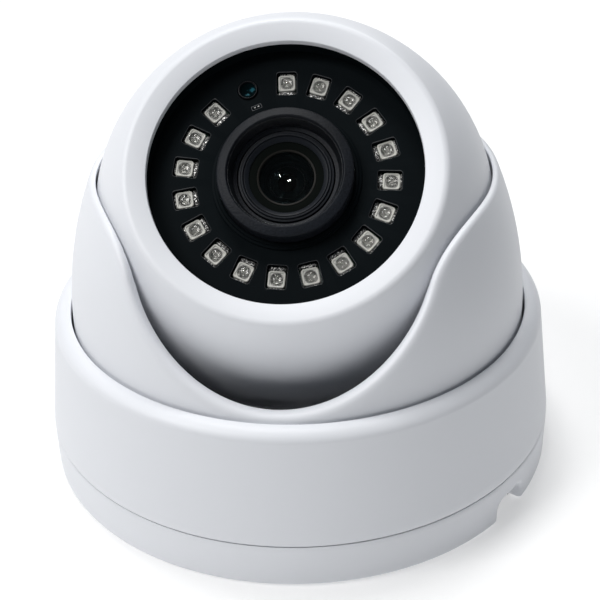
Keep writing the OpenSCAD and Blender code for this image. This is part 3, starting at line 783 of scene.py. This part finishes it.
def build_collar():
    path = resample(collar_edge(), 0.42)
    count = len(path)
    left_phi = front_phi(path[0][0], collar_out(path[0][1]))
    right_phi = front_phi(path[-1][0], collar_out(path[-1][1]))
    unrolled = []
    for x, z in path:
        unrolled.append((front_phi(x, collar_out(z)) * collar_out(z), z))
    normals = edge_normals(unrolled)
    corner_start = math.sqrt((CUT_R + CUT_CORNER) ** 2 - (CUT_Z - COLLAR_TOP_Z + CUT_CORNER) ** 2)
    columns = []
    for i, (x, z) in enumerate(path):
        n = (-normals[i][0], -normals[i][1])
        phi = front_phi(x, collar_out(z))
        straight = front_phi(x, collar_in(z)) if abs(x) < collar_in(z) else phi
        share = smooth_step((corner_start - abs(x)) / (corner_start - 0.82 * CUT_R))
        phi_in = phi + (straight - phi) * share
        far_phi = left_phi + (right_phi - left_phi) * i / (count - 1)
        columns.append(collar_column(phi, phi_in, far_phi, z, n))
    rest = 190
    gap = TAU - (right_phi - left_phi)
    for i in range(1, rest):
        phi = right_phi + gap * i / rest
        columns.append(collar_column(phi, phi, phi, COLLAR_TOP_Z, (0, -1)))
    wall = Solid().loops(columns)
    wall.lathe(rounded([(33.75, FLANGE_Z), (COLLAR_R - 1.9, FLANGE_Z), (COLLAR_R - 1.9, 19.6),
                        (33.75, 19.6, 0.3)], 3), 128)
    wall.lathe(rounded([(36.2, 22.2, 0.3), (COLLAR_R - 1.9, 22.2), (COLLAR_R - 1.9, 23.6),
                        (36.2, 23.6, 0.3)], 3), 128)
    for side in (-1, 1):
        place = moved(0, 0, BALL_Z) @ Matrix.Rotation(side * math.pi / 2, 4, "Y")
        wall.lathe(rounded([(2.05, 35.5), (4.4, 35.5, 0.3), (4.4, 37.6), (2.05, 37.6)], 3),
                   48, place)
    wall.make("collar_shell", white, "collar", "white_plastic", ["collar"], sharp=50)


build_collar()


# ---- Ball ----

def sphere_arc(radius, from_d, to_d, steps):
    """Points (r, d) on a sphere about the ball's centre."""
    a0, a1 = math.asin(from_d / radius), math.asin(to_d / radius)
    return [(radius * math.cos(a0 + (a1 - a0) * i / steps),
             radius * math.sin(a0 + (a1 - a0) * i / steps)) for i in range(steps + 1)]


def build_ball():
    crease_d = FACE_D - 0.7
    crease = sphere_arc(BALL_R, PART_D + 0.35, crease_d, 64)
    edge_r = math.sqrt(BALL_R ** 2 - FACE_D ** 2)
    slope = FACE_DISH / (edge_r - 0.3 - WINDOW_R)
    face_r = edge_r - 0.8
    face_start = Vector((face_r, FACE_D - 0.5 * slope))
    soft = bezier(Vector(crease[-1]), Vector((edge_r + 0.05, FACE_D)), face_start, 9)
    inside = sphere_arc(BALL_R - 2.2, 15.8, PART_D, 24)
    outline = [(BALL_R - 0.45, PART_D)] + crease[:-1] + [tuple(p) for p in soft]
    lip_d = FACE_D - FACE_DISH
    outline += rounded([tuple(face_start), (WINDOW_R, lip_d, 0.22), (WINDOW_R, LIP_BACK_D, 0.1),
                        (25.2, LIP_BACK_D), (25.2, 8), (28.2, 8)], 5)
    outline += inside
    shell = Solid(to_ball).lathe(outline, 256)
    front = shell.make("ball_front", white, "ball", "white_plastic", ["front_shell"], 45)
    cutters = []
    for side in (-1, 1):
        place = to_ball @ Matrix.Rotation(side * math.pi / 2, 4, "Y")
        cutters.append(cylinder_cutter("pivot_cutter", 6.6, 34.9, 40, place, 64))
    carve(front, cutters, 45)

    outline = [(0, -BALL_R)] + sphere_arc(BALL_R, -BALL_R + 0.02, PART_D - 0.35, 56)
    outline += [(BALL_R - 0.45, PART_D), (34.55, PART_D), (33.85, PART_D)]
    outline += [(math.sqrt((BALL_R - 2.2) ** 2 - PART_D ** 2), PART_D)]
    outline += sphere_arc(BALL_R - 2.2, PART_D - 0.1, -BALL_R + 2.22, 40)
    outline += [(0, -BALL_R + 2.2)]
    rear = Solid(to_ball).lathe(outline, 192)
    back = rear.make("ball_rear", white, "ball", "white_plastic", ["rear_shell"], 45)
    cutters = []
    gland = to_ball @ Matrix.Rotation(math.pi - math.radians(39), 4, "X")
    cutters.append(cylinder_cutter("gland_cutter", 6, BALL_R - 0.6, 40, gland, 64))
    cutters.append(cylinder_cutter("gland_bore", 4.05, 30, 40, gland, 64))
    for k in range(4):
        place = to_ball @ turned(math.radians(45 + 90 * k)) @ moved(30, 0, 0)
        cutters.append(cylinder_cutter("screw_cutter", 2.3, -38, -12.5, place, 40))
    carve(back, cutters, 45)


build_ball()


# ---- Lamps behind their mask ----

MASK_D, MASK_T = 17.8, 1.2
BOARD_D = 15.8
LAMP_RING_R, LAMP_COUNT = 17.8, 18
SENSOR_ANGLE = math.radians(115.3)
SENSOR_GAP = math.radians(44.4)
LAMP_STEP = (TAU - SENSOR_GAP) / (LAMP_COUNT - 1)
WINDOW_IN, WINDOW_OUT, WINDOW_W = 2.35, 1.85, 3.5


def lamp_places():
    for i in range(LAMP_COUNT):
        angle = SENSOR_ANGLE + SENSOR_GAP / 2 + i * LAMP_STEP
        yield turned(angle) @ moved(LAMP_RING_R, 0, 0)


def build_mask():
    plate = Solid(to_ball)
    plate.lathe(rounded([(11.75, MASK_D - MASK_T), (23.6, MASK_D - MASK_T), (23.6, MASK_D),
                         (11.75, MASK_D, 0.15)], 3), 192)
    obj = plate.make("mask_plate", mask_black, "camera", "mask_black", ["lamp_mask"])
    cutters = []
    half_x = (WINDOW_IN + WINDOW_OUT) / 2
    middle = (WINDOW_OUT - WINDOW_IN) / 2
    window = rounded_box(half_x, WINDOW_W / 2, 0.45, 4)
    tool, bevel = Solid(to_ball), Solid(to_ball)
    for place in lamp_places():
        here = place @ moved(middle, 0, 0)
        tool.block(window, [(0, MASK_D - 2), (0, MASK_D + 1)], here)
        bevel.block(window, [(0.05, MASK_D - 0.15), (-0.1, MASK_D + 0.005), (-0.1, MASK_D + 1)],
                    here)
    place = turned(SENSOR_ANGLE) @ moved(LAMP_RING_R, 0, 0)
    tool.lathe([(0, MASK_D - 2), (1.75, MASK_D - 2), (1.75, MASK_D - 0.1),
                (1.85, MASK_D + 0.005), (1.85, MASK_D + 1), (0, MASK_D + 1)], 48, place)
    cutters.append(tool.make("window_cutter", mask_black))
    # The chamfer faces round each window take the lighter colour, a painted highlight
    cutters.append(bevel.make("bevel_cutter", painted_highlight_edge))
    carve(obj, cutters, 30)
    rim = Solid(to_ball)
    rim.lathe(rounded([(23.6, BOARD_D), (25.0, BOARD_D), (25.0, 20.5), (23.6, 20.5, 0.3)],
                      4), 192)
    rim.make("mask_rim", mask_black, "camera", "mask_black", ["lamp_mask"])


def build_lamps():
    rng = random.Random(7)
    packages, wells = Solid(to_ball), Solid(to_ball)
    half, top = 1.5, BOARD_D + 1.5
    body = rounded_box(half, half, 0.55, 5)
    for place in lamp_places():
        spin = turned(math.radians(rng.uniform(-2.5, 2.5)))
        here = place @ spin
        packages.block(body, [(0, BOARD_D), (0, top - 0.16), (0.05, top - 0.05),
                              (0.16, top), (0.30, top), (0.36, top - 0.06),
                              (0.40, top - 0.14)], here)
        wells.lathe(rounded([(0, top - 0.10), (1.04, top - 0.10, 0.05), (1.10, top - 0.02, 0.03),
                             (1.18, top - 0.02, 0.03), (1.2, top - 0.2), (0, top - 0.2)], 3),
                    40, here)
    packages.make("lamp_packages", ceramic, "camera", "lamp_ceramic", ["infrared_lamps"], 60)
    wells.make("lamp_wells", lamp_well, "camera", "lamp_ceramic", ["infrared_lamps"], 60)
    domes = Solid(to_ball)
    dome_r, rise = 1.06, 0.5
    curve = (dome_r ** 2 + rise ** 2) / (2 * rise)
    side = math.degrees(math.asin(dome_r / curve))
    outline = [(0, top - 0.08)]
    outline += [(dome_r, top - 0.08)]
    outline += [(max(x, 0), y) for x, y in arc(0, top + rise - curve, curve, 90 - side, 90, 9)]
    for place in lamp_places():
        domes.lathe(outline, 36, place)
    domes.make("lamp_lenses", dome_glass, "camera", "clear_glass", ["lamp_domes"], 60)


def build_solder():
    """Tinned pads beside each lamp, seen through its window, on the black board."""
    rng = random.Random(11)
    pads = Solid(to_ball)
    for place in lamp_places():
        for side, reach in ((-1, 0.75), (1, 0.3)):
            x = side * (1.5 + reach / 2) - 0.03
            points = []
            for k in range(18):
                a = TAU * k / 18
                wave = rng.uniform(0.82, 1.12)
                px = math.copysign(abs(math.cos(a)) ** 0.6, math.cos(a)) * (reach / 2 + 0.05)
                py = math.copysign(abs(math.sin(a)) ** 0.6, math.sin(a)) * 1.62
                points.append((px * wave, py * (0.93 + 0.07 * wave)))
            rows = []
            for inset, z in ((1.0, BOARD_D), (1.0, BOARD_D + 0.95), (0.85, BOARD_D + 1.2),
                             (0.45, BOARD_D + 1.3)):
                rows.append([(x + px * inset, py * inset, z + rng.uniform(-0.03, 0.05))
                             for px, py in points])
            pads.loops(rows, True, place)
    pads.make("solder_pads", solder, "camera", "steel", sharp=60)


def build_sensor():
    place = to_ball @ turned(SENSOR_ANGLE) @ moved(LAMP_RING_R, 0, 0)
    lens = Solid(place)
    hollow = [(1.42 * k / 8, MASK_D - 0.42 + 0.36 * (k / 8) ** 2) for k in range(8, -1, -1)]
    lens.lathe([(0, BOARD_D), (1.42, BOARD_D)] + hollow, 48)
    lens.make("sensor_lens", sensor_dark, "camera", "sensor_face", ["light_sensor"], 60)
    rim = Solid(place)
    rim.lathe(rounded([(1.43, BOARD_D), (1.7, BOARD_D), (1.7, MASK_D + 0.3, 0.14),
                       (1.43, MASK_D + 0.3, 0.12)], 4), 48)
    rim.make("sensor_rim", charcoal_fine, "camera", "dark_plastic", ["light_sensor_rim"])


def build_link():
    """The small soldered link let into the mask between the sensor and the hood."""
    place = to_ball @ turned(SENSOR_ANGLE - 0.015) @ moved(14.25, 0, MASK_D)
    frame_box = Solid(place)
    frame_box.block(rounded_box(0.42, 0.95, 0.2), [(0, -0.3), (0, 0.01), (0.03, 0.03)])
    frame_box.make("link_frame", dark, "camera", "mask_black", sharp=30)
    body = Solid(place)
    body.block(rounded_box(0.33, 0.85, 0.15), [(0, -0.2), (0, 0.035), (0.02, 0.045)])
    body.make("link_body", mask_black, "camera", "mask_black", sharp=30)
    pads = Solid(place)
    for y in (-0.36, 0.30):
        pads.block(rounded_box(0.11, 0.14, 0.06), [(0, -0.1), (0, 0.07), (0.05, 0.09)],
                   moved(0.02, y, 0))
    pads.make("link_pads", lamp_well, "camera", "steel", sharp=60)


build_mask()
build_lamps()
build_solder()
build_sensor()
build_link()


# ---- Lens ----

HOOD_R, HOOD_FRONT, HOOD_FLOOR = 11.65, 21.9, 18.9
HOOD_IN_R, HOOD_FOOT_R = 9.1, 8.4
BARREL_R, BARREL_FRONT = 8.2, 19.2
RING_R, THROAT_R, TRIM_R = 7.22, 6.45, 5.06
LENS_R, LENS_RIM_D, LENS_THICK, LENS_BULGE = 4.75, 17.9, 0.35, 0.26
SEAT_D = 16
BAFFLES = [(4.55, 17.1), (4.2, 16.7), (3.9, 16.3), (3.5, 15.9), (1.6, 15.5)]
PUPIL_D, PUPIL_BALL_R, PUPIL_FLATTEN = 9.0, 4.6, 0.62


def build_hood():
    hood = Solid(to_ball)
    hood.lathe(rounded([(HOOD_FOOT_R, BOARD_D), (HOOD_R, BOARD_D),
                        (HOOD_R, HOOD_FRONT - 0.5, 0.34), (9.98, HOOD_FRONT, 0.22),
                        (9.7, HOOD_FRONT - 0.6, 0.1), (HOOD_IN_R, HOOD_FLOOR + 0.6),
                        (HOOD_IN_R, HOOD_FLOOR), (HOOD_FOOT_R, HOOD_FLOOR - 0.2)], 6), 256)
    hood.make("lens_hood_shell", charcoal, "camera", "charcoal_metal", ["lens_hood"], 30)
    cone = Solid(to_ball)
    cone_r, cone_d = HOOD_IN_R - 0.05, HOOD_FLOOR + 0.3
    cone.lathe(rounded([(9.66, HOOD_FRONT - 0.5, 0.06), (cone_r, cone_d + 0.4, 0.1),
                        (cone_r, cone_d), (cone_r + 0.25, cone_d), (10.1, HOOD_FRONT - 0.8)],
                       4), 256)
    cone.make("hood_inner_cone", hood_cone, "camera", "charcoal_metal", sharp=30)
    foot, foot_in_r, foot_r = Solid(to_ball), HOOD_R + 0.05, HOOD_R + 1.2
    foot.lathe(rounded([(foot_in_r, MASK_D), (foot_r, MASK_D), (foot_r, MASK_D + 0.34, 0.12),
                        (foot_r - 0.5, MASK_D + 0.4, 0.08), (foot_r - 0.55, MASK_D + 0.7, 0.12),
                        (foot_in_r, MASK_D + 0.7, 0.1)], 4), 192)
    foot.make("hood_foot", mask_black, "camera", "mask_black", ["hood_foot_ring"], 30)


def build_barrel():
    """The barrel's front with its retaining ring, dark throat and thin bronze trim."""
    barrel = Solid(to_ball)
    step_d, bore_r = BARREL_FRONT - 0.25, RING_R + 0.03
    barrel.lathe(rounded([(0, 0.9), (6, 0.9), (6, 13), (BARREL_R, 13), (BARREL_R, step_d, 0.1),
                          (7.8, step_d, 0.08), (7.68, BARREL_FRONT, 0.1),
                          (7.4, BARREL_FRONT, 0.1), (bore_r, BARREL_FRONT - 0.3),
                          (bore_r, SEAT_D), (5, SEAT_D), (5, PUPIL_D), (4.2, PUPIL_D - 0.1),
                          (4.2, 2.0), (0, 2.0)], 4), 192)
    barrel.make("barrel_shell", charcoal_blue, "camera", "charcoal_metal", ["lens_barrel"], 30)

    ring = Solid(to_ball)
    ring_in_r = THROAT_R - 0.05
    ring.lathe(rounded([(ring_in_r, 18.3), (RING_R, 18.3), (RING_R, BARREL_FRONT - 0.1, 0.08),
                        (ring_in_r, BARREL_FRONT - 0.6, 0.08)], 4), 192)
    ring.make("retaining_ring", charcoal_blue, "camera", "charcoal_metal",
              ["lens_retaining_ring"], 30)
    throat = Solid(to_ball)
    throat_in_r = TRIM_R + 0.02
    throat.lathe(rounded([(throat_in_r, 18.0), (THROAT_R, 18.0),
                          (THROAT_R, BARREL_FRONT - 0.75, 0.05),
                          (throat_in_r, BARREL_FRONT - 0.95, 0.05)], 3), 192)
    throat.make("retaining_throat", flat_black, "camera", "charcoal_metal", sharp=30)
    trim = Solid(to_ball)
    trim.lathe(rounded([(4.72, LENS_RIM_D), (TRIM_R, LENS_RIM_D), (TRIM_R, 18.34, 0.05),
                        (4.72, 18.24, 0.05)], 3), 160)
    trim.make("retaining_trim", ring_brown, "camera", "charcoal_metal", sharp=30)


def build_glass():
    """The front lens on its seat, the stepped baffles and the coated lens behind them."""
    curve = (LENS_R ** 2 + LENS_BULGE ** 2) / (2 * LENS_BULGE)
    side = math.degrees(math.asin(LENS_R / curve))
    front = Solid(to_ball)
    middle = LENS_RIM_D + LENS_BULGE - curve
    inner = arc(0, middle, curve - LENS_THICK, 90, 90 - side, 24)
    outer = arc(0, middle, curve, 90 - side, 90, 24)
    front.lathe([(max(x, 0), y) for x, y in inner + [(LENS_R, LENS_RIM_D)] + outer], 160)
    front.make("front_lens", lens_glass, "camera", "clear_glass", ["front_element"], 30)
    seat = Solid(to_ball)
    seat.lathe([(4.8, SEAT_D), (7.1, SEAT_D), (7.1, 17.95), (4.8, 17.85)], 160)
    seat.make("lens_seat", flat_black, "camera", "charcoal_metal", ["front_element"], 30)

    baffles = Solid(to_ball)
    for r, d in BAFFLES:
        baffles.lathe(rounded([(r, d), (4.78, d), (4.78, d + 0.3), (r, d + 0.12, 0.05)], 2), 128)
    baffles.make("lens_baffles", baffle_black, "camera", "charcoal_metal", sharp=30)
    edge = Solid(to_ball)
    edge.lathe(rounded([(2.9, 15.5), (3.05, 15.5), (3.05, 15.75, 0.04), (2.9, 15.75, 0.04)], 2),
               128)
    edge.make("baffle_edge", charcoal_fine, "camera", "charcoal_metal", sharp=30)

    pupil = Solid(to_ball)
    dome = arc(0, PUPIL_D, PUPIL_BALL_R, 44, 90, 14)
    flat = [(max(x, 0), PUPIL_D - 0.2 + (y - PUPIL_D) * PUPIL_FLATTEN) for x, y in dome[1:]]
    pupil.lathe([(0, PUPIL_D), (4.9, PUPIL_D), (4.9, PUPIL_D + 1.4), dome[0]] + flat, 128)
    pupil.make("middle_lens", pupil_glass, "camera", "tinted_glass", ["middle_element"], 30)


build_hood()
build_barrel()
build_glass()


# ---- Materials of the CAD parts that stay ----

FINISHES = {
    "white_plastic": white, "black_rubber": rubber, "steel": steel,
    "bearing_plastic": bearing, "dark_plastic": dark, "mask_black": mask_black,
    "circuit_board": board, "lamp_ceramic": ceramic, "clear_glass": inner_glass,
    "tinted_glass": inner_glass, "sensor_face": sensor_face, "charcoal_metal": charcoal_fine,
    "copper": copper, "lead_film": lead_film, "brass": brass, "aluminium": aluminium,
}


def finish_nodes():
    slots = {p["node"]: p["material_slot"] for p in frame["record"]["subparts"]}
    for node, obj in frame["nodes"].items():
        obj.data.materials.clear()
        obj.data.materials.append(FINISHES[slots[node]])


finish_nodes()
